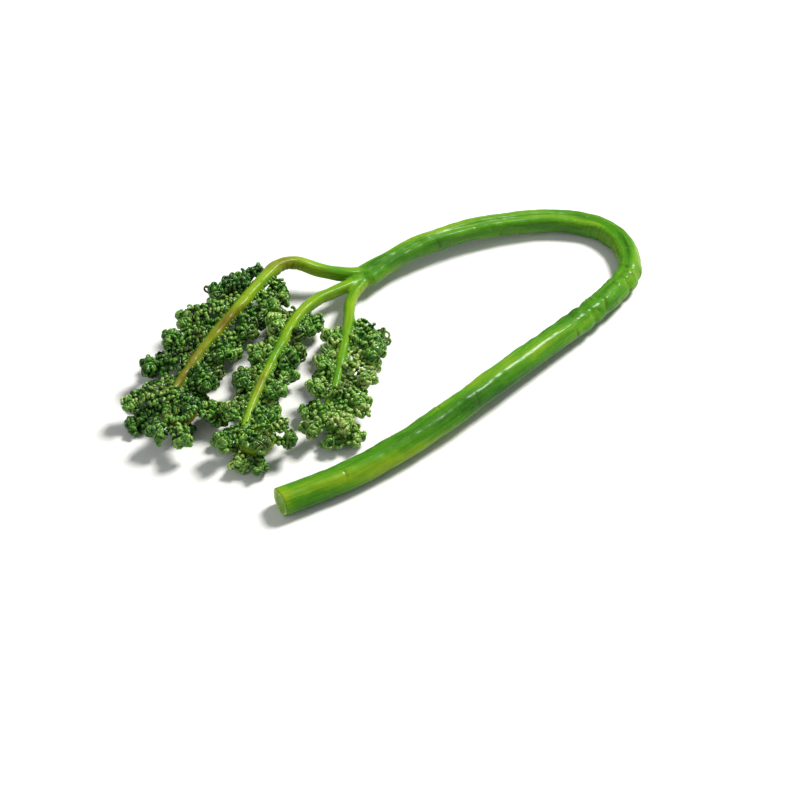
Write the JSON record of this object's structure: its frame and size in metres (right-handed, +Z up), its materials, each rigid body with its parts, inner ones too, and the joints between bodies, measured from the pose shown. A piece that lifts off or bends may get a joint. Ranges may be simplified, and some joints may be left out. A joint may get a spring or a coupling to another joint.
{
  "type": "bracken fiddlehead",
  "caption": "Blanched bracken fiddlehead laid flat: a long round stalk kinked back on itself, forking into drooping limbs of rolled, toothed leaflets.",
  "frame": {"origin": "on the table, under the middle of the whole fiddlehead's bounding box", "axes": "+X from the leafy head to the bend of the stalk, +Y from the cut end towards the back of the bend, +Z up"},
  "size_m": [0.1578, 0.1282, 0.0145],
  "materials": {
    "stalk_skin": "wet satin skin with fine lengthwise streaks, yellow-green to deep green",
    "leaflets": "crinkled, damp leaflets, dark green with paler edges"
  },
  "bodies": {
    "root": {"stalk": "stalk_skin", "upper_pinna": "leaflets", "middle_crozier": "leaflets", "lower_pinna": "leaflets"}
  },
  "joints": []
}
